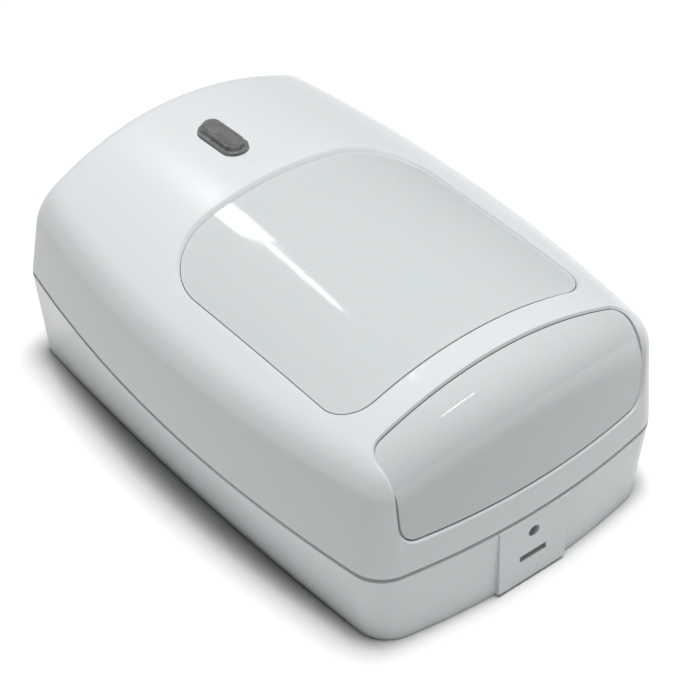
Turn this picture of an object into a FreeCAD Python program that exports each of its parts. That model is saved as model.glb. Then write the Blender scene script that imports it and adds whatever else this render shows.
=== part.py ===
import FreeCAD, Part
import math
import os
from FreeCAD import Vector

# A passive-infrared motion sensor, lying on its wall face. All sizes are in millimetres.
# +Z points out of the wall, +Y towards the top end, X across; the origin is the middle of the wall face.

os.makedirs("parts", exist_ok=True)

# ---- housing ----
body_height = 117.8        # end to end, at the seam
body_width = 79.8          # side to side, at the seam
body_depth = 50.5          # wall face to the top of the crown
seam_height = 19.6         # where the base meets the cover, at the middle
seam_slope = 0.039         # the seam climbs towards the top end
back_side_inset = 4.9      # the base narrows towards the wall, on each side
back_top_inset = 0.0
back_bottom_inset = 1.2
side_bow = 5.4             # how far each long side bulges, at the seam
back_side_bow = 2.0        # and at the wall
end_bow = 3.9              # how far each end bulges
side_draft = 0.055         # lean of the cover's sides, per mm of height
top_lean = 0.205           # lean of the cover's top end
bottom_lean = 0.02         # lean of the cover's lower end
crown_radius = 73.0        # front face, across
long_radius = 1000.0       # front face, along
crown_y = -7.0             # the highest station of the front face
side_round = 9.0           # front face into the long sides
lower_round = 7.5          # front face and corners at the lower end
upper_round = 2.2          # crisp edge and corners at the top end
base_wall = 2.2
cover_wall = 2.2
floor_thickness = 2.0
seam_gap = 0.15
seam_chamfer = 0.45        # on each half, so that the seam shows as a V groove
lip_thickness = 1.0
lip_rise = 1.6
lip_clearance = 0.3
lip_length = 84.0

# ---- front windows ----
lens_half_width = 29.3
lens_bottom_y = -40.8
lens_shoulder_y = 16.6     # where the lens sides would meet its arched top
lens_top_y = 17.9
lens_corner = 6.6
lens_shoulder_round = 13.6
lens_recess = 0.7
lens_thickness = 0.8
lens_gap = 0.15
flange_width = 1.8
flange_thickness = 0.8
flange_gap = 0.1
retainer_thickness = 1.8
retainer_bar = 3.4
window_bevel = 0.8
look_half_width_top = 30.2
look_half_width_bottom = 28.8
look_drop = 17.86          # distances down and up the 45 degree slant from the lower front edge
look_corner_drop = 15.66
look_shoulder_rise = 2.34
look_rise = 7.04
look_corner = 4.0
look_recess = 0.4
look_round = 10.0
look_thickness = 1.3

# ---- light pipe ----
pipe_y = 33.6
pipe_length = 13.2
pipe_width = 6.0
pipe_foot_proud = 0.6
pipe_proud = 2.1
pipe_shoulder = 0.75       # step between the foot and the raised top, on each side
pipe_gap = 0.12
pipe_bevel = 0.4
pipe_stem_width = 2.6
pipe_stem_length = 6.0
pipe_flange = 1.2

# ---- lower end of the base ----
pad_width = 17.0
pad_back_width = 16.2
pad_depth = 4.0
pad_foot_inset = 0.3       # the pad stands proud of the narrowed end at the wall
pad_foot_chamfer = 0.6
lock_hole_radius = 1.3
lock_hole_z = 12.5
key_slot_width = 6.6
key_slot_height = 1.6
key_slot_z = 6.7

# ---- fixing to the wall ----
wall_hole_radius = 2.2
wall_hole_spacing = 72.0
cable_hole_radius = 5.0
cable_hole_y = 16.0

# ---- circuit board and what it carries ----
board_width = 53.0
board_top_y = 51.0
board_bottom_y = -45.0
board_thickness = 1.6
board_bottom_z = 10.0
board_travel = 3.0
board_gap = 0.1
board_side_gap = 0.3
board_screw_y = -37.0
board_screw_radius = 1.5
board_post_radius = 3.4
sensor_y = -9.0
sensor_can_radius = 4.1
sensor_flange_radius = 4.6
sensor_height = 4.2
sensor_lead_radius = 0.25
sensor_lead_circle = 2.54
lead_hole_clearance = 0.15
terminal_ways = 6
terminal_pitch = 5.0
terminal_y = 45.6
terminal_depth = 8.0
terminal_height = 9.4
tamper_x = 21.0
tamper_y = 30.0
tamper_size = 6.0
tamper_height = 4.0
plunger_radius = 1.3
plunger_rise = 2.4
plunger_gap = 0.2
dip_ways = 3
dip_pitch = 2.54
dip_x = 15.0
dip_y = 12.0
dip_travel = 1.0
tab_x = 12.0               # cover tabs that drop inside the top end of the base
tab_gap = 0.7
tongue_gap = 0.6
tongue_width = 12.0
tongue_drop = 4.4          # how far the tongue hangs below the seam
latch_width = 8.0
latch_thickness = 1.2
latch_pivot_z = 3.2
small_gap = 0.2

board_top_z = board_bottom_z + board_thickness
end_y = body_height / 2
cover_bottom_z = seam_height + seam_gap
def seam_z(y):
    """Height of the seam at a station along the body."""
    return seam_height + seam_slope * y


lower_seam_z = seam_z(-end_y)
upper_seam_z = seam_z(end_y)
flange_foot_z = lower_seam_z + 5.0      # the frame behind the look-down lens stops here, above the catch
forms = {}


# ---- helpers ----
def save(name, shape):
    shape.exportStep("parts/" + name + ".step")


def block(size_x, size_y, size_z, x, y, z):
    """A box centred on x and y that rises from z."""
    return Part.makeBox(size_x, size_y, size_z, Vector(x - size_x / 2, y - size_y / 2, z))


def rod(radius, height, x, y, z):
    return Part.makeCylinder(radius, height, Vector(x, y, z))


def edges_where(shape, test):
    return [edge for edge in shape.Edges if test(edge.BoundBox)]


def pill(length, width, height, y, z):
    """A slot-shaped prism along Y."""
    reach = (length - width) / 2
    ends = [rod(width / 2, height, 0, y + side * reach, z) for side in (-1, 1)]
    return block(width, 2 * reach, height, 0, y, z).fuse(ends).removeSplitter()


def bowed_outline(z, slope, half_width, top, bottom, bow_x, bow_y):
    """Four bowed sides; the half width is measured at the middle, the corners sit inside it."""
    corner = half_width - bow_x

    def point(x, y):
        return Vector(x, y, z + slope * y)
    corners = [
        point(-corner, bow_y - bottom),
        point(corner, bow_y - bottom),
        point(corner, top - bow_y),
        point(-corner, top - bow_y),
    ]
    middle_y = (top - bottom) / 2
    middles = [point(0, -bottom), point(half_width, middle_y), point(0, top), point(-half_width, middle_y)]
    sides = [Part.Arc(corners[i], middles[i], corners[(i + 1) % 4]).toShape() for i in range(4)]
    return Part.Wire(sides)


def cover_outline(z, inset):
    rise = z - seam_height
    half_width = body_width / 2 - inset - rise * side_draft
    top = end_y - inset - rise * top_lean
    bottom = end_y - inset - rise * bottom_lean
    return bowed_outline(z, seam_slope, half_width, top, bottom, side_bow, end_bow)


def base_outline(z, inset):
    share = z / seam_height
    half_width = body_width / 2 - back_side_inset * (1 - share) - inset
    top = end_y - back_top_inset * (1 - share) - inset
    bottom = end_y - back_bottom_inset * (1 - share) - inset
    bow = back_side_bow + (side_bow - back_side_bow) * share
    return bowed_outline(z, seam_slope * share, half_width, top, bottom, bow, end_bow)


def corner_radius(radius, inset):
    return max(radius - inset, 0.6)


def round_corners(shape, inset):
    """Rounds the upright corner edges; inside the wall the top end keeps plain corners."""
    def upright(box):
        return box.ZLength > seam_height / 2
    lower = edges_where(shape, lambda box: upright(box) and box.YMax < 0)
    shape = shape.makeFillet(corner_radius(lower_round, inset), lower)
    upper = edges_where(shape, lambda box: upright(box) and box.YMin > end_y / 2)
    return shape if inset else shape.makeFillet(upper_round, upper)


def crown_solid(inset):
    """Everything under the front face, which is a torus patch turned about an axis along X."""
    across = crown_radius - inset
    along = long_radius - inset
    top = body_depth - inset
    reach = body_width * 0.55
    edge_z = top - across + math.sqrt(across ** 2 - reach ** 2)
    low_z = -5.0
    arc = Part.Arc(Vector(reach, crown_y, edge_z), Vector(0, crown_y, top), Vector(-reach, crown_y, edge_z))
    foot = [
        Vector(-reach, crown_y, edge_z),
        Vector(-reach, crown_y, low_z),
        Vector(reach, crown_y, low_z),
        Vector(reach, crown_y, edge_z),
    ]
    lines = [Part.makeLine(foot[i], foot[i + 1]) for i in range(3)]
    face = Part.Face(Part.Wire([arc.toShape()] + lines))
    swing = math.degrees(body_height / along)
    axis_point = Vector(0, crown_y, top - along)
    face.rotate(axis_point, Vector(1, 0, 0), -swing)
    return face.revolve(axis_point, Vector(1, 0, 0), 2 * swing)


def cover_block(inset, bottom_z):
    """The drafted plan under the crown, before its edges are rounded."""
    outlines = [cover_outline(bottom_z, inset), cover_outline(body_depth + 10, inset)]
    return Part.makeLoft(outlines, True, True).common(crown_solid(inset))


def cover_form(inset, bottom_z=cover_bottom_z - 2.0):
    """The cover's outer shape, moved in by inset on every side."""
    key = (inset, bottom_z)
    if key not in forms:
        shape = cover_block(inset, bottom_z)
        high = seam_height + 8
        sides = edges_where(shape, lambda box: box.ZMin > high and box.YLength > body_height * 0.6)
        shape = shape.makeFillet(side_round - inset, sides)

        def end_edge(box):
            return box.ZMax > upper_seam_z + 4 and box.YLength < 12
        lower = edges_where(shape, lambda box: end_edge(box) and box.YMax < -end_y / 2)
        shape = shape.makeFillet(corner_radius(lower_round, inset), lower)
        upper = edges_where(shape, lambda box: end_edge(box) and box.YMin > end_y / 2)
        forms[key] = shape if inset else shape.makeFillet(upper_round, upper)
    return forms[key]


def base_form(inset, bottom_z):
    outlines = [base_outline(bottom_z, inset), base_outline(seam_height, inset)]
    return round_corners(Part.makeLoft(outlines, True, True), inset)


# ---- windows ----
def main_window(grow):
    """Prism of the main lens window: straight sides and bottom, arched top."""
    half = lens_half_width + grow
    low = lens_bottom_y - grow
    shoulder = lens_shoulder_y + grow
    points = [Vector(-half, shoulder, 30), Vector(-half, low, 30), Vector(half, low, 30), Vector(half, shoulder, 30)]
    lines = [Part.makeLine(points[i], points[i + 1]) for i in range(3)]
    arch = Part.Arc(points[3], Vector(0, lens_top_y + grow, 30), points[0]).toShape()
    prism = Part.Face(Part.Wire(lines + [arch])).extrude(Vector(0, 0, body_depth - 10))
    low_edges = edges_where(prism, lambda box: box.ZLength > 30 and box.YMax < 0)
    prism = prism.makeFillet(lens_corner + grow, low_edges)
    high_edges = edges_where(prism, lambda box: box.ZLength > 30 and box.YMin > 0)
    return prism.makeFillet(lens_shoulder_round + grow, high_edges)


def slanted(u, v, w):
    """A point given across, up the slant and out of the plane that faces the lower front edge."""
    half = math.sqrt(0.5)
    return Vector(u, (v - w) * half, (v + w) * half)


def look_window(grow):
    """Prism of the look-down window, seen square to the rounded lower edge."""
    inner = body_depth - 1.0
    depth = 30.0
    edge = (body_depth - end_y) * math.sqrt(0.5)
    top_half = look_half_width_top + grow
    low_half = look_half_width_bottom + grow
    corners = [
        slanted(-top_half, edge + look_shoulder_rise + grow, inner),
        slanted(-low_half, edge - look_corner_drop - grow, inner),
        slanted(low_half, edge - look_corner_drop - grow, inner),
        slanted(top_half, edge + look_shoulder_rise + grow, inner),
    ]
    left = Part.makeLine(corners[0], corners[1])
    foot = Part.Arc(corners[1], slanted(0, edge - look_drop - grow, inner), corners[2]).toShape()
    right = Part.makeLine(corners[2], corners[3])
    arch = Part.Arc(corners[3], slanted(0, edge + look_rise + grow, inner), corners[0]).toShape()
    out = slanted(0, 0, depth)
    prism = Part.Face(Part.Wire([left, foot, right, arch])).extrude(out)
    upright = edges_where(prism, lambda box: box.YLength > depth / 2 and box.XLength < 1)
    return prism.makeFillet(look_corner + grow, upright)


def look_form(inset):
    """The look-down lens's own skin: the cover's block with one broad round along the lower edge."""
    shape = cover_block(inset + look_recess, seam_height)
    front = edges_where(shape, lambda box: box.YMax < -end_y / 2 and box.XLength > body_width / 2 and box.ZMin > 30)
    return shape.makeFillet(look_round - inset, front)


# ---- base ----
def seam_edges(shape, z):
    """The edges that lie on the sloping seam plane through the given height at the middle."""
    def on_plane(vertex):
        return abs(vertex.Z - z - seam_slope * vertex.Y) < 0.01
    return [edge for edge in shape.Edges if all(on_plane(vertex) for vertex in edge.Vertexes)]


def make_rear_base():
    outer = base_form(0, 0)
    outer = outer.makeChamfer(seam_chamfer, seam_edges(outer, seam_height))
    cavity = base_form(base_wall, 0).common(block(200, 200, 50, 0, 0, floor_thickness))
    base = outer.cut(cavity)
    base = base.fuse(lower_pad().cut(cavity))
    base = base.fuse(seam_lips())
    base = base.fuse(board_supports())
    base = base.fuse(latch_cheeks())
    return base.cut(base_openings()).removeSplitter()


def lower_pad():
    """The flat pad on the lower end, narrower towards the wall and level with the end at the seam."""
    top_z = lower_seam_z - seam_chamfer
    inner_y = pad_depth - end_y

    def rim(z, width, outer_y):
        half = width / 2
        low = [Vector(-half, outer_y, z), Vector(half, outer_y, z), Vector(half, inner_y, z), Vector(-half, inner_y, z)]
        return Part.makePolygon(low + low[:1])
    pad = Part.makeLoft([rim(0, pad_back_width, pad_foot_inset - end_y), rim(top_z, pad_width, 0.02 - end_y)], True, True)
    foot = edges_where(pad, lambda box: box.ZMax < 0.01 and box.YMax < inner_y - 1 and box.XLength > pad_depth)
    return pad.makeChamfer(pad_foot_chamfer, foot)


def seam_lips():
    """Two thin lips inside the long sides that locate the cover."""
    low_z = seam_height - 3.5
    inset = cover_wall + lip_clearance
    height = seam_height - low_z + lip_rise
    window = block(2 * body_width, lip_length, body_depth, 0, 0, 0)
    upper = ring_band(inset, inset + lip_thickness, low_z, height)
    joint = ring_band(base_wall - 0.4, inset + lip_thickness, low_z, seam_height - small_gap - low_z)
    return upper.fuse(joint).common(window)


def ring_band(outer_inset, inner_inset, z, height):
    """A band that follows the seam outline between two insets."""
    outer = Part.Face(base_outline(seam_height, outer_inset)).extrude(Vector(0, 0, height))
    inner = Part.Face(base_outline(seam_height, inner_inset)).extrude(Vector(0, 0, height))
    band = outer.cut(inner)
    band.translate(Vector(0, 0, z - seam_height))
    return band


def board_supports():
    """Ledges under the board, guides beside it and the post that takes its screw."""
    ledge_top = board_bottom_z - board_gap
    parts = []
    for side in (-1, 1):
        for y in (-30, 0, 30):
            parts.append(block(4, 2, ledge_top - 1, side * (board_width / 2 - 1), y, 1))
            guide_x = side * (board_width / 2 + board_side_gap + 0.8)
            parts.append(block(1.6, 2, board_top_z + 0.6, guide_x, y, 1))
    post = rod(board_post_radius, ledge_top - 1, 0, board_screw_y, 1)
    parts.append(post.cut(rod(board_screw_radius, ledge_top, 0, board_screw_y, floor_thickness)))
    return parts


def latch_cheeks():
    y = latch_y()
    gap = latch_width / 2 + small_gap
    cheeks = [block(1.4, 3.0, 5, side * (gap + 0.7), y, 1) for side in (-1, 1)]
    return cheeks


def base_openings():
    wall_holes = [
        rod(wall_hole_radius, 10, 0, side * wall_hole_spacing / 2 + 6, -5) for side in (-1, 1)
    ]
    cable_hole = rod(cable_hole_radius, 10, 0, cable_hole_y, -5)
    lock_hole = Part.makeCylinder(lock_hole_radius, 10, Vector(0, -end_y - 1, lock_hole_z), Vector(0, 1, 0))
    key_slot = block(key_slot_width, 12, key_slot_height, 0, -end_y, key_slot_z - key_slot_height / 2)
    return wall_holes + [cable_hole, lock_hole, key_slot]


# ---- cover ----
def make_front_cover():
    outer = cover_form(0, cover_bottom_z)
    outer = outer.makeChamfer(seam_chamfer, seam_edges(outer, cover_bottom_z))
    cover = outer.cut(cover_form(cover_wall))
    for window in (main_window(0), look_window(0)):
        cover = cover.cut(window)
        cover = cover.makeChamfer(window_bevel, rim_edges(cover, outer, window))
    cover = cover.cut(pill(pipe_length, pipe_width, 30, pipe_y, 30))
    cover = cover.fuse(cover_tabs() + [catch_tongue(), tamper_post()])
    return cover.removeSplitter()


def rim_edges(shape, skin, window):
    """The edges of shape that lie on both the outer skin and the wall of a window."""
    def lies_on(edge, shell):
        middle = edge.valueAt((edge.FirstParameter + edge.LastParameter) / 2)
        return Part.Vertex(middle).distToShape(shell)[0] < 0.01
    return [edge for edge in shape.Edges if lies_on(edge, skin.Shells[0]) and lies_on(edge, window.Shells[0])]


def cover_tabs():
    """Two tabs that drop inside the base's top end and steer the cover as it opens."""
    tabs = []
    for side in (-1, 1):
        x = side * tab_x
        outer_y = end_y - base_wall - 0.8 - tab_gap
        tabs.append(block(7, 1.4, 8, x, outer_y - 0.7, upper_seam_z - 3.5))
        tabs.append(block(7, 3.2, 2, x, outer_y + 0.2, upper_seam_z + 2.5))
    return [tab.common(cover_form(cover_wall / 2, 0)) for tab in tabs]


def catch_tongue():
    """A tongue on the cover's lower end that hangs behind the key slot's latch arm."""
    outer_y = -(end_y - base_wall - tongue_gap)
    tongue = block(tongue_width, 1.0, 9, 0, outer_y + 0.5, lower_seam_z - tongue_drop)
    bridge = block(tongue_width, 2.6, 3, 0, outer_y, lower_seam_z + 1.6)
    return tongue.fuse(bridge)


def tamper_post():
    foot_z = plunger_top() + plunger_gap
    post = block(3.4, 2 * board_travel + 4, body_depth - foot_z, tamper_x, tamper_y, foot_z)
    return post.common(cover_form(cover_wall / 2))


# ---- optics ----
def make_main_lens():
    skin = crown_solid(lens_recess)
    under = cover_form(cover_wall + flange_gap + flange_thickness)
    plug = main_window(-lens_gap).common(skin)
    flange = main_window(flange_width).common(cover_form(cover_wall + flange_gap))
    hollow = main_window(-flange_width).common(crown_solid(lens_recess + lens_thickness))
    return plug.fuse(flange).cut([under, hollow]).removeSplitter()


def make_look_down_lens():
    under = cover_form(cover_wall + flange_gap + flange_thickness)
    plug = look_window(-lens_gap).common(look_form(0))
    flange = look_window(flange_width).common(cover_form(cover_wall + flange_gap))
    flange = flange.common(lower_end_space(lens_bottom_y - flange_width - 1.9))
    hollow = look_window(-flange_width).common(look_form(look_thickness))
    return plug.fuse(flange).cut([under, hollow]).removeSplitter()


def lower_end_space(y):
    """Everything below the given station and above the catch."""
    return block(2 * body_width, body_height, body_depth, 0, y - body_height / 2, flange_foot_z)


def make_lens_retainer():
    """One frame that clamps both lens flanges from inside."""
    inset = cover_wall + 2 * flange_gap + flange_thickness
    shell = cover_form(inset).cut(cover_form(inset + retainer_thickness))
    main_ring = main_window(flange_width).cut(main_window(flange_width - retainer_bar))
    look_ring = look_window(flange_width).cut(look_window(flange_width - retainer_bar))
    look_ring = look_ring.common(lower_end_space(lens_bottom_y))
    return shell.common(main_ring.fuse(look_ring)).removeSplitter()


def make_light_pipe():
    foot = pill(pipe_length - 2 * pipe_gap, pipe_width - 2 * pipe_gap, 30, pipe_y, 30)
    foot = foot.common(crown_solid(-pipe_foot_proud))
    step = 2 * (pipe_gap + pipe_shoulder)
    head = pill(pipe_length - step, pipe_width - step, 30, pipe_y, 30).common(crown_solid(-pipe_proud))
    head = head.makeChamfer(pipe_bevel, edges_where(head, lambda box: box.ZMin > body_depth - 1)).fuse(foot)
    flange = pill(pipe_length + pipe_flange, pipe_width + pipe_flange, 30, pipe_y, 30)
    flange = flange.common(cover_form(cover_wall + flange_gap))
    under = cover_form(cover_wall + flange_gap + flange_thickness)
    stem_z = board_top_z + 6
    stem = block(pipe_stem_width, pipe_stem_length, body_depth - cover_wall - 0.6 - stem_z, 0, pipe_y, stem_z)
    return head.fuse(flange).cut(under).fuse(stem).removeSplitter()


# ---- circuit board ----
def make_circuit_board():
    length = board_top_y - board_bottom_y
    middle = (board_top_y + board_bottom_y) / 2
    board = block(board_width, length, board_thickness, 0, middle, board_bottom_z)
    board = board.makeFillet(2.0, edges_where(board, lambda box: box.XLength < 0.1 and box.YLength < 0.1))
    slot = pill(2 * (board_screw_radius + board_travel) + 1.0, 2 * board_screw_radius + 0.8, 10, board_screw_y, 5)
    leads = [
        rod(sensor_lead_radius + lead_hole_clearance, 10, x, y, 5) for x, y in sensor_lead_places()
    ]
    return board.cut([slot] + leads)


def sensor_lead_places():
    places = []
    for turn in (90, 210, 330):
        angle = math.radians(turn)
        places.append((sensor_lead_circle * math.cos(angle), sensor_y + sensor_lead_circle * math.sin(angle)))
    return places


def make_pyro_sensor():
    """A TO-5 can: flange, can with a rolled top edge, window opening and three leads."""
    can = rod(sensor_flange_radius, 0.6, 0, sensor_y, board_top_z + small_gap)
    body = rod(sensor_can_radius, sensor_height - 0.2, 0, sensor_y, board_top_z + small_gap)
    top = board_top_z + small_gap + sensor_height - 0.2
    body = body.makeChamfer(0.4, edges_where(body, lambda box: box.ZMin > top - 0.01 and box.XLength > 1))
    can = can.fuse(body)
    can = can.cut(block(5.0, 4.0, 0.8, 0, sensor_y, top - 0.8))
    leads = [
        rod(sensor_lead_radius, board_thickness + 1.6, x, y, board_bottom_z - 1.4) for x, y in sensor_lead_places()
    ]
    return can.fuse(leads).removeSplitter()


def make_pyro_window():
    top = board_top_z + small_gap + sensor_height - 0.2
    return block(4.9, 3.9, 0.6, 0, sensor_y, top - 0.78)


def make_sensor_shroud():
    """A tapered collar round the can that keeps insects and stray light away."""
    inner = sensor_flange_radius + 0.3
    foot = Vector(0, sensor_y, board_top_z + 0.05)
    outer = Part.makeCone(inner + 2.4, inner + 1.4, 5.0, foot)
    return outer.cut(rod(inner, 10, 0, sensor_y, board_top_z - 1))


def make_board_screw():
    seat = board_top_z + small_gap
    head = rod(3.0, 1.8, 0, board_screw_y, seat)
    head = head.makeFillet(0.7, edges_where(head, lambda box: box.ZMin > seat + 1.7 and box.XLength > 1))
    depth = 6.0
    shank = rod(board_screw_radius - 0.05, depth, 0, board_screw_y, seat - depth)
    slots = [block(3.4, 0.7, 1.0, 0, board_screw_y, seat + 1.0), block(0.7, 3.4, 1.0, 0, board_screw_y, seat + 1.0)]
    return head.fuse(shank).cut(slots).removeSplitter()


def terminal_places():
    first = -(terminal_ways - 1) / 2 * terminal_pitch
    return [first + way * terminal_pitch for way in range(terminal_ways)]


def make_terminal_block():
    length = terminal_ways * terminal_pitch
    body = block(length, terminal_depth, terminal_height, 0, terminal_y, board_top_z)
    slope = edges_where(body, lambda box: box.YMax < terminal_y and box.ZMin > board_top_z + 1 and box.XLength > 5)
    body = body.makeChamfer(2.0, slope)
    cuts = []
    for x in terminal_places():
        cuts.append(rod(1.9, 5, x, terminal_y + 0.4, board_top_z + terminal_height - 3.4))
        cuts.append(block(3.4, 6.2, 4.6, x, terminal_y + 2.4, board_top_z + 1.0))
    return body.cut(cuts)


def make_terminal_screws():
    z = board_top_z + terminal_height - 3.2
    screws = []
    for x in terminal_places():
        screw = rod(1.75, 1.8, x, terminal_y + 0.4, z)
        screws.append(screw.cut(block(4, 0.6, 0.8, x, terminal_y + 0.4, z + 1.2)))
    return Part.makeCompound(screws)


def make_wire_clamps():
    clamps = []
    for x in terminal_places():
        cage = block(3.0, 4.0, 3.8, x, terminal_y + 1.4, board_top_z + 1.2)
        clamps.append(cage.cut(block(2.0, 10, 2.0, x, terminal_y + 1.4, board_top_z + 2.2)))
    return Part.makeCompound(clamps)


def make_alarm_relay():
    body = block(9, 19, 8, -16, 20, board_top_z)
    return body.makeFillet(0.5, edges_where(body, lambda box: box.ZMin > board_top_z + 1))


def plunger_top():
    return board_top_z + tamper_height + plunger_rise


def make_tamper_body():
    body = block(tamper_size, tamper_size, tamper_height, tamper_x, tamper_y, board_top_z)
    body = body.makeFillet(0.4, edges_where(body, lambda box: box.ZMin > board_top_z + 1))
    return body.cut(rod(plunger_radius + 0.1, tamper_height, tamper_x, tamper_y, board_top_z + 0.8))


def make_tamper_plunger():
    foot = board_top_z + 1.4
    plunger = rod(plunger_radius, plunger_top() - foot, tamper_x, tamper_y, foot)
    return plunger.makeFillet(0.5, edges_where(plunger, lambda box: box.ZMin > foot + 1 and box.XLength > 1))


def dip_places():
    first = dip_x - (dip_ways - 1) / 2 * dip_pitch
    return [first + way * dip_pitch for way in range(dip_ways)]


def make_dip_body():
    body = block(dip_ways * dip_pitch + 0.8, 6.4, 3.4, dip_x, dip_y, board_top_z)
    return body.cut([block(1.5, 3.2, 1.4, x, dip_y, board_top_z + 2.2) for x in dip_places()])


def make_dip_slider(x):
    return block(1.2, 1.4, 2.0, x, dip_y - dip_travel / 2 - 0.1, board_top_z + 2.3)


def make_status_led():
    body = block(3.2, 2.8, 1.0, 0, pipe_y, board_top_z)
    dome = Part.makeSphere(1.2, Vector(0, pipe_y, board_top_z + 1.0))
    return body.fuse(dome.common(block(4, 4, 3, 0, pipe_y, board_top_z + 0.9))).removeSplitter()


def make_chip(size_x, size_y, x, y, legs):
    """A small-outline package with a row of gull-wing legs on each long side."""
    body = block(size_x, size_y, 1.5, x, y, board_top_z + 0.2)
    parts = [body]
    pitch = 1.27
    for leg in range(legs):
        leg_y = y + (leg - (legs - 1) / 2) * pitch
        parts.append(block(size_x + 2.2, 0.45, 0.3, x, leg_y, board_top_z + 0.7))
        for side in (-1, 1):
            parts.append(block(0.3, 0.45, 0.85, x + side * (size_x / 2 + 1.1), leg_y, board_top_z))
    return parts[0].fuse(parts[1:]).removeSplitter()


def make_capacitors():
    cans = []
    for x, y, radius, height in ((-18, -4, 3.15, 7.0), (-18, -14, 2.5, 6.0), (18, -6, 2.5, 6.0)):
        can = rod(radius, height, x, y, board_top_z)
        cans.append(can.makeChamfer(0.4, edges_where(can, lambda box: box.ZMin > board_top_z + 1 and box.XLength > 1)))
    return Part.makeCompound(cans)


def make_chip_parts():
    places = [(x, y) for x in (-20, -16, -12) for y in (-26, -31)]
    places += [(x, y) for x in (10, 14, 18) for y in (-16, -36)]
    return Part.makeCompound([block(1.25, 2.0, 0.6, x, y, board_top_z) for x, y in places])


# ---- latch ----
def latch_y():
    return -(end_y - base_wall - tongue_gap - 1.0 - small_gap - 0.9 - latch_thickness / 2)


def make_cover_latch():
    """A springy arm behind the key slot; its nose faces the cover's tongue."""
    y = latch_y()
    nose_z = lower_seam_z - tongue_drop - 0.1
    arm = block(latch_width, latch_thickness, nose_z + 1.4 - latch_pivot_z, 0, y, latch_pivot_z)
    foot = Part.makeCylinder(0.9, latch_width, Vector(-latch_width / 2, y, latch_pivot_z), Vector(1, 0, 0))
    nose_reach = 0.9
    nose_y = y - latch_thickness / 2 - nose_reach / 2
    nose = block(latch_width - 2, nose_reach, 1.4, 0, nose_y, nose_z)
    return arm.fuse([foot, nose]).removeSplitter()


def build():
    save("rear_base", make_rear_base())
    save("front_cover", make_front_cover())
    save("main_lens", make_main_lens())
    save("look_down_lens", make_look_down_lens())
    save("lens_retainer", make_lens_retainer())
    save("led_light_pipe", make_light_pipe())
    save("circuit_board", make_circuit_board())
    save("pyro_sensor", make_pyro_sensor())
    save("pyro_window", make_pyro_window())
    save("sensor_shroud", make_sensor_shroud())
    save("board_screw", make_board_screw())
    save("terminal_block", make_terminal_block())
    save("terminal_screws", make_terminal_screws())
    save("wire_clamps", make_wire_clamps())
    save("alarm_relay", make_alarm_relay())
    save("tamper_body", make_tamper_body())
    save("tamper_plunger", make_tamper_plunger())
    save("dip_body", make_dip_body())
    for way, x in enumerate(dip_places()):
        save("dip_slider_" + str(way + 1), make_dip_slider(x))
    save("status_led", make_status_led())
    save("microcontroller", make_chip(7.5, 12.0, 4, -22.5, 9))
    save("amplifier_chip", make_chip(3.9, 5.0, -10, 6, 4))
    save("capacitors", make_capacitors())
    save("chip_parts", make_chip_parts())
    save("cover_latch", make_cover_latch())


build()
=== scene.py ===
import math
import bpy
from mathutils import Matrix, Vector


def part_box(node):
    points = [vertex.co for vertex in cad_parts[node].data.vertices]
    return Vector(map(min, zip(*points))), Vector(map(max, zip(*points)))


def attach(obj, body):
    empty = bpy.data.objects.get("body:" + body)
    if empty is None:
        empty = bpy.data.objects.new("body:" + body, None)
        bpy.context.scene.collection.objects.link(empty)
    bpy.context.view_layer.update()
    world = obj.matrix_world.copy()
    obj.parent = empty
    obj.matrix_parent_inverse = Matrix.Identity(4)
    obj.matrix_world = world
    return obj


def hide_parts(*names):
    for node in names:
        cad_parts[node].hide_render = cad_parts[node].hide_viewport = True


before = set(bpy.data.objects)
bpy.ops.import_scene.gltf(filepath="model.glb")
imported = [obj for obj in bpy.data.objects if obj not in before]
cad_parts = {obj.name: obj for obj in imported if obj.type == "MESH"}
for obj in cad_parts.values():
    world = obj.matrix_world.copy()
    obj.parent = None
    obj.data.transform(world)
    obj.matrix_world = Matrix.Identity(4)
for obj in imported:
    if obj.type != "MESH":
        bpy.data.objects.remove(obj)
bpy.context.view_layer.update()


class Wire:
    # a node output that can be used in plain sums, each sign adding its Math node

    def __init__(self, sheet, socket):
        self.sheet = sheet
        self.socket = socket

    def joined(self, operation, first, second=None):
        values = {0: first} if second is None else {0: first, 1: second}
        return self.sheet.add("ShaderNodeMath", {"operation": operation}, values)

    def __add__(self, other):
        return self.joined("ADD", self, other)

    def __radd__(self, other):
        return self.joined("ADD", other, self)

    def __sub__(self, other):
        return self.joined("SUBTRACT", self, other)

    def __rsub__(self, other):
        return self.joined("SUBTRACT", other, self)

    def __mul__(self, other):
        return self.joined("MULTIPLY", self, other)

    def __rmul__(self, other):
        return self.joined("MULTIPLY", other, self)

    def __truediv__(self, other):
        return self.joined("DIVIDE", self, other)

    def above(self, level):
        return self.joined("GREATER_THAN", self, level)

    def below(self, level):
        return self.joined("LESS_THAN", self, level)

    def size(self):
        return self.joined("ABSOLUTE", self)

    def repeat(self, step):
        return self.joined("PINGPONG", self, step)

    def power(self, exponent):
        return self.joined("POWER", self, exponent)

    def clamped(self):
        return self.sheet.add("ShaderNodeClamp", {}, {"Value": self})


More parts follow.
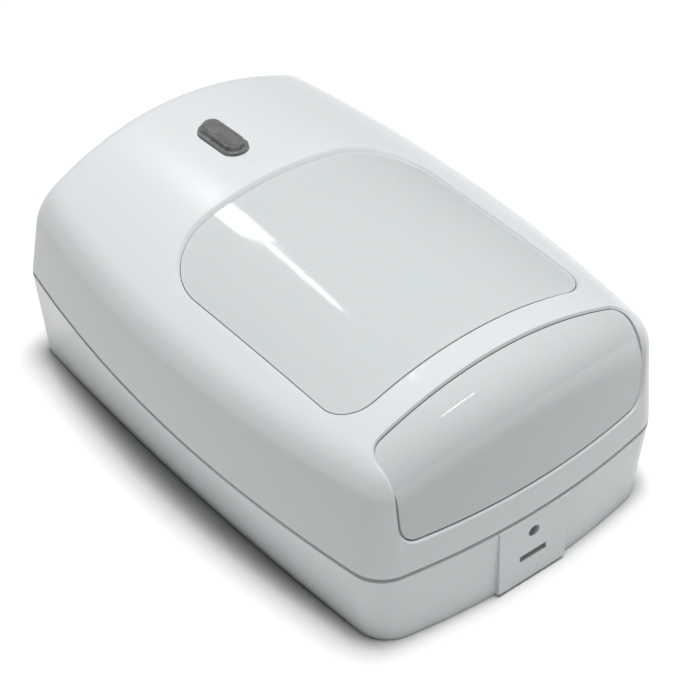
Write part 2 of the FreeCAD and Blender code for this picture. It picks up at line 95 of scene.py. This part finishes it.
class NodeSheet:
    # one material and its nodes

    def __init__(self, name):
        self.material = bpy.data.materials.new(name)
        self.material.use_nodes = True
        self.tree = self.material.node_tree
        self.shader = self.tree.nodes["Principled BSDF"]
        self.place = self.add("ShaderNodeTexCoord", {}, {}, "Object")

    def add(self, kind, settings, values, output=0):
        node = self.tree.nodes.new(kind)
        for name, value in settings.items():
            if name == "stops":
                self.setStops(node.color_ramp, value)
            else:
                setattr(node, name, value)
        for name, value in values.items():
            self.feed(node.inputs[name], value)
        return Wire(self, node.outputs[output])

    def setStops(self, ramp, stops):
        while len(ramp.elements) < len(stops):
            ramp.elements.new(1.0)
        for element, (place, colour) in zip(ramp.elements, stops):
            element.position = place
            element.color = tuple(colour) + (1.0,)

    def feed(self, socket, value):
        if isinstance(value, Wire):
            self.tree.links.new(value.socket, socket)
        else:
            socket.default_value = value

    def finish(self, **values):
        # shader sockets by name, underscores standing for spaces
        for name, value in values.items():
            socket = self.shader.inputs[name.replace("_", " ")]
            if isinstance(value, (tuple, list)) and len(value) == 3 and socket.type == "RGBA":
                value = tuple(value) + (1.0,)
            self.feed(socket, value)
        return self.material

    def noise(self, scale, detail=2.0, roughness=0.5):
        values = {"Vector": self.place, "Scale": scale, "Detail": detail, "Roughness": roughness}
        return self.add("ShaderNodeTexNoise", {}, values)

    def axes(self):
        split = self.add("ShaderNodeSeparateXYZ", {}, {"Vector": self.place})
        outputs = split.socket.node.outputs
        return [Wire(self, outputs[name]) for name in "XYZ"]

    def blend(self, share, first, second):
        pair = [value if isinstance(value, Wire) else tuple(value) + (1.0,) for value in (first, second)]
        values = {"Factor": share, 6: pair[0], 7: pair[1]}
        return self.add("ShaderNodeMix", {"data_type": "RGBA"}, values, 2)

    def relief(self, height, distance, strength=1.0):
        values = {"Height": height, "Distance": distance, "Strength": strength}
        return self.add("ShaderNodeBump", {}, values)


print("materials")

housingFinish = {
    "colour": (0.70, 0.73, 0.745), "shade": (0.68, 0.71, 0.72), "grainDepth": 0.000008, "roughness": 0.20,
}
lensFinish = {
    "colour": (0.615, 0.645, 0.65), "shade": (0.595, 0.625, 0.63), "milk": 0.25, "milkDepth": 0.002,
    "roughness": 0.05, "ringStep": 0.0012, "ringDepth": 0.000003, "ringStrength": 0.4,
    "cloud": (26.0, 3.0), "glossSpread": 0.05, "index": 1.52,
}
clearFinish = {"tint": (0.90, 0.91, 0.90), "roughness": 0.02, "index": 1.49, "clarity": 0.85,
               "flow": (420.0, 3.0), "flowDepth": 0.00001, "flowStrength": 0.25, "glossSpread": 0.01}
darkFinish = {
    "colour": (0.022, 0.023, 0.025), "shade": (0.03, 0.031, 0.033), "grainDepth": 0.00001, "roughness": 0.42,
}
mouldMarks = {
    "cloud": (34.0, 4.0), "grain": (2400.0, 2.0), "wipe": (140.0, 5.0, 0.62),
    "glossSpread": 0.05, "wipeShare": 0.5, "strength": 0.5, "index": 1.53,
}


def mouldedPlastic(name, colour, shade, grainDepth, roughness, **extra):
    # a moulded plastic: the tool's fine grain, with slightly uneven gloss and tone
    sheet = NodeSheet(name)
    cloudy, fine, wipe = [sheet.noise(*mouldMarks[mark]) for mark in ("cloud", "grain", "wipe")]
    gloss = roughness + cloudy * mouldMarks["glossSpread"] + wipe * mouldMarks["glossSpread"]
    bump = sheet.relief(fine + wipe * mouldMarks["wipeShare"], grainDepth, mouldMarks["strength"])
    tone = sheet.blend(cloudy, colour, shade)
    return sheet.finish(Base_Color=tone, Roughness=gloss, Normal=bump, IOR=mouldMarks["index"], **extra)


def milkyLens(name, finish):
    # thin milky film: light scatters inside it, and its ring facets show faintly through
    sheet = NodeSheet(name)
    cloudy = sheet.noise(*finish["cloud"])
    across, along, up = sheet.axes()
    middleDistance = (across * across + along * along).power(0.5)
    facets = middleDistance.repeat(finish["ringStep"]) / finish["ringStep"]
    bump = sheet.relief(facets, finish["ringDepth"], finish["ringStrength"])
    tone = sheet.blend(cloudy, finish["colour"], finish["shade"])
    gloss = finish["roughness"] + cloudy * finish["glossSpread"]
    return sheet.finish(Base_Color=tone, Roughness=gloss, Normal=bump, IOR=finish["index"],
                        Subsurface_Weight=finish["milk"], Subsurface_Scale=finish["milkDepth"])


def clearPlastic(name, finish):
    # water-clear acrylic with faint flow marks
    sheet = NodeSheet(name)
    flow = sheet.noise(*finish["flow"])
    bump = sheet.relief(flow, finish["flowDepth"], finish["flowStrength"])
    gloss = finish["roughness"] + flow * finish["glossSpread"]
    return sheet.finish(Base_Color=finish["tint"], Roughness=gloss, Normal=bump, IOR=finish["index"],
                        Transmission_Weight=finish["clarity"])


metalFinishes = {
    "canMetal": ((0.62, 0.60, 0.55), (0.50, 0.48, 0.44), 0.24),
    "steelMetal": ((0.56, 0.57, 0.58), (0.42, 0.43, 0.45), 0.30),
}
metalMarks = {
    "scratch": (5200.0, 2.0, 0.7), "patch": (420.0, 4.0), "scratchDepth": 0.000004, "strength": 0.6,
    "glossSpread": 0.18,
}


def brushedMetal(name, colour, shade, roughness):
    # drawn or turned metal: fine scratches and patchy gloss
    sheet = NodeSheet(name)
    scratches, patches = [sheet.noise(*metalMarks[mark]) for mark in ("scratch", "patch")]
    tone = sheet.blend(patches, colour, shade)
    bump = sheet.relief(scratches, metalMarks["scratchDepth"], metalMarks["strength"])
    gloss = roughness + patches * metalMarks["glossSpread"]
    return sheet.finish(Base_Color=tone, Roughness=gloss, Normal=bump, Metallic=1.0)


boardFinish = {
    "mask": (0.010, 0.115, 0.045), "maskShade": (0.014, 0.15, 0.06), "track": (0.03, 0.24, 0.10),
    "edge": (0.42, 0.38, 0.22), "trackStep": 0.0042, "trackStretch": 1.7, "trackShare": 0.55,
    "drift": (46.0, 1.0), "driftReach": 0.006, "region": (70.0, 0.0), "regionLevel": 0.5,
    "cloud": (120.0, 3.0), "edgeHalf": 0.00072, "copperRise": 0.00003, "copperStrength": 0.7,
    "roughness": 0.24, "edgeRoughness": 0.4, "glossSpread": 0.06, "lacquer": 0.3,
}


def middleHeight(node):
    low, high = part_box(node)
    return (low.z + high.z) / 2.0


def solderMask(name, finish):
    # green lacquer over copper: stepped tracks stand slightly proud, and the cut edges show the glass fibre
    sheet = NodeSheet(name)
    across, along, up = sheet.axes()
    drift = sheet.noise(*finish["drift"]) * finish["driftReach"]
    narrow = finish["trackStep"]
    wide = narrow * finish["trackStretch"]
    crossing = ((across + drift).repeat(narrow) / narrow).above(finish["trackShare"])
    running = ((along + drift).repeat(wide) / wide).above(finish["trackShare"])
    region = sheet.noise(*finish["region"]).above(finish["regionLevel"])
    copper = (crossing * region + running * (1.0 - region)).clamped()
    cloudy = sheet.noise(*finish["cloud"])
    tone = sheet.blend(copper, sheet.blend(cloudy, finish["mask"], finish["maskShade"]), finish["track"])
    edgeShare = (up - middleHeight("circuit_board")).size().below(finish["edgeHalf"])
    tone = sheet.blend(edgeShare, tone, finish["edge"])
    bump = sheet.relief(copper, finish["copperRise"], finish["copperStrength"])
    gloss = finish["roughness"] + edgeShare * finish["edgeRoughness"] + cloudy * finish["glossSpread"]
    return sheet.finish(Base_Color=tone, Roughness=gloss, Normal=bump,
                        Coat_Weight=finish["lacquer"] - edgeShare * finish["lacquer"])


housing = mouldedPlastic("housingPlastic", **housingFinish)
lens = milkyLens("lensFilm", lensFinish)
clear = clearPlastic("clearAcrylic", clearFinish)
dark = mouldedPlastic("darkPlastic", **darkFinish)
metals = {name: brushedMetal(name, *values) for name, values in metalFinishes.items()}
board = solderMask("boardLacquer", boardFinish)


shadeShare = 0.9


def tinted(name, colour, roughness, grainDepth=0.00001, **extra):
    shade = tuple(part * shadeShare for part in colour)
    return mouldedPlastic(name, colour, shade, grainDepth, roughness, **extra)


finishes = {
    "rear_base": housing,
    "front_cover": housing,
    "main_lens": lens,
    "look_down_lens": lens,
    "led_light_pipe": clear,
    "lens_retainer": tinted("framePlastic", (0.30, 0.31, 0.32), 0.4),
    "circuit_board": board,
    "pyro_sensor": metals["canMetal"],
    "pyro_window": tinted("filterGlass", (0.045, 0.032, 0.05), 0.08),
    "sensor_shroud": dark,
    "board_screw": metals["steelMetal"],
    "terminal_block": tinted("terminalPlastic", (0.02, 0.20, 0.10), 0.35),
    "terminal_screws": metals["steelMetal"],
    "wire_clamps": metals["steelMetal"],
    "alarm_relay": tinted("relayPlastic", (0.06, 0.14, 0.42), 0.32),
    "tamper_body": dark,
    "tamper_plunger": tinted("plungerPlastic", (0.62, 0.10, 0.05), 0.35),
    "dip_body": tinted("switchPlastic", (0.50, 0.035, 0.03), 0.33),
    "dip_slider_1": tinted("sliderPlastic", (0.80, 0.80, 0.77), 0.35),
    "status_led": tinted("ledResin", (0.65, 0.02, 0.015), 0.10, 0.000002, Transmission_Weight=0.4),
    "microcontroller": tinted("chipResin", (0.028, 0.028, 0.03), 0.5),
    "capacitors": tinted("sleeveFilm", (0.03, 0.04, 0.11), 0.28),
    "chip_parts": tinted("ceramicChip", (0.42, 0.33, 0.22), 0.45),
    "cover_latch": housing,
}
for twin in ("dip_slider_2", "dip_slider_3"):
    finishes[twin] = finishes["dip_slider_1"]
finishes["amplifier_chip"] = finishes["microcontroller"]

print("cover")
coverRims = {
    "weld": 0.000002,      # corners this close are one
    "lowest": 0.0265,      # rims below this height stay sharp
    "sharpest": 24.0, "round": 0.00042, "steps": 3, "profile": 0.5, "smooth": 35.0,
}


def mergedCopy(node, name):
    # a copy of a CAD node with its loose triangles joined up
    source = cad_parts[node]
    piece = bpy.data.objects.new(name, source.data.copy())
    bpy.context.scene.collection.objects.link(piece)
    bpy.ops.object.select_all(action="DESELECT")
    piece.select_set(True)
    bpy.context.view_layer.objects.active = piece
    bpy.ops.mesh.customdata_custom_splitnormals_clear()
    bpy.ops.object.mode_set(mode="EDIT")
    bpy.ops.mesh.select_all(action="SELECT")
    bpy.ops.mesh.remove_doubles(threshold=coverRims["weld"])
    bpy.ops.object.mode_set(mode="OBJECT")
    return piece


def selectRims(piece):
    # the sharp edges wholly above the lowest height: those round the windows and the light pipe's slot
    bpy.ops.object.mode_set(mode="EDIT")
    bpy.ops.mesh.select_mode(type="EDGE")
    bpy.ops.mesh.select_all(action="DESELECT")
    bpy.ops.mesh.edges_select_sharp(sharpness=math.radians(coverRims["sharpest"]))
    bpy.ops.object.mode_set(mode="OBJECT")
    for edge in piece.data.edges:
        ends = [piece.data.vertices[index].co for index in edge.vertices]
        if min(end.z for end in ends) < coverRims["lowest"]:
            edge.select = False


coverShell = mergedCopy("front_cover", "coverShell")
selectRims(coverShell)
bpy.ops.object.mode_set(mode="EDIT")
bpy.ops.mesh.bevel(offset=coverRims["round"], segments=coverRims["steps"], profile=coverRims["profile"],
                   clamp_overlap=True)
bpy.ops.object.mode_set(mode="OBJECT")
bpy.ops.object.shade_smooth_by_angle(angle=math.radians(coverRims["smooth"]))
coverShell.data.materials.clear()
coverShell.data.materials.append(housing)
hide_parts("front_cover")
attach(coverShell, "cover")

for node, material in finishes.items():
    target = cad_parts[node]
    target.data.materials.clear()
    target.data.materials.append(material)

print("stage, camera and light")
studio = {
    "turn": 37.74, "rise": 41.31, "roll": -1.70, "away": 0.4952, "lens": 130.71,
    "target": (0.00007, -0.00464, 0.020), "frameShift": (0.00124, 0.0023),
    "sensor": 36.0, "nearest": 0.01,
    "floorColour": (0.92, 0.92, 0.92), "floorRoughness": 0.9, "floorSize": 8.0, "floorDrop": 0.0002,
    "sky": 0.04,
}


def cameraMatrix(turn, rise, roll, away, target):
    bearing = -math.radians(turn)
    climb = math.radians(rise)
    side = Vector((math.cos(bearing), math.sin(bearing), 0.0))
    back = Vector((math.sin(bearing) * math.cos(climb), -math.cos(bearing) * math.cos(climb), math.sin(climb)))
    up = back.cross(side)
    spin = math.radians(roll)
    right = side * math.cos(spin) + up * math.sin(spin)
    top = up * math.cos(spin) - side * math.sin(spin)
    matrix = Matrix((right, top, back)).transposed().to_4x4()
    matrix.translation = Vector(target) + back * away
    return matrix


def makeCamera():
    data = bpy.data.cameras.new("studioCamera")
    data.sensor_width = studio["sensor"]
    data.lens = studio["lens"]
    data.shift_x, data.shift_y = studio["frameShift"]
    data.clip_start = studio["nearest"]
    camera = bpy.data.objects.new("studioCamera", data)
    bpy.context.scene.collection.objects.link(camera)
    camera.matrix_world = cameraMatrix(*(studio[name] for name in ("turn", "rise", "roll", "away", "target")))
    bpy.context.scene.camera = camera


def makeFloor():
    bpy.ops.object.select_all(action="DESELECT")
    bpy.ops.mesh.primitive_plane_add(size=studio["floorSize"], location=(0.0, 0.0, -studio["floorDrop"]))
    floor = bpy.context.active_object
    floor.name = "studioFloor"
    colour, roughness = studio["floorColour"], studio["floorRoughness"]
    floor.data.materials.append(NodeSheet("floorPaper").finish(Base_Color=colour, Roughness=roughness))


def makeSky():
    world = bpy.data.worlds.new("studioWorld")
    world.use_nodes = True
    background = world.node_tree.nodes["Background"]
    background.inputs["Color"].default_value = (1.0, 1.0, 1.0, 1.0)
    background.inputs["Strength"].default_value = studio["sky"]
    bpy.context.scene.world = world


softLights = {
    "overheadLight": {"place": (0.10, -0.10, 2.2), "size": (0.8, 0.8), "power": 54.0, "mirrored": False},
    "streakLight": {"place": (0.28, -0.66, 2.08), "size": (0.55, 0.07), "power": 1.6},
    "windowLight": {"place": (0.26, 0.86, 0.93), "size": (0.10, 0.08), "power": 0.5},
    "windowTailLight": {"place": (0.25, 0.78, 1.02), "size": (0.02, 0.12), "power": 0.12},
}


def makeLight(name, place, size, power, mirrored=True):
    data = bpy.data.lights.new(name, "AREA")
    data.shape = "RECTANGLE"
    data.size, data.size_y = size
    data.energy = power
    light = bpy.data.objects.new(name, data)
    bpy.context.scene.collection.objects.link(light)
    light.location = place
    light.visible_glossy = mirrored    # an unmirrored light leaves no highlight
    light.rotation_euler = Vector(place).to_track_quat("Z", "Y").to_euler()


bpy.context.scene.view_settings.view_transform = "Standard"
makeCamera()
makeFloor()
makeSky()
for name, settings in softLights.items():
    makeLight(name, **settings)
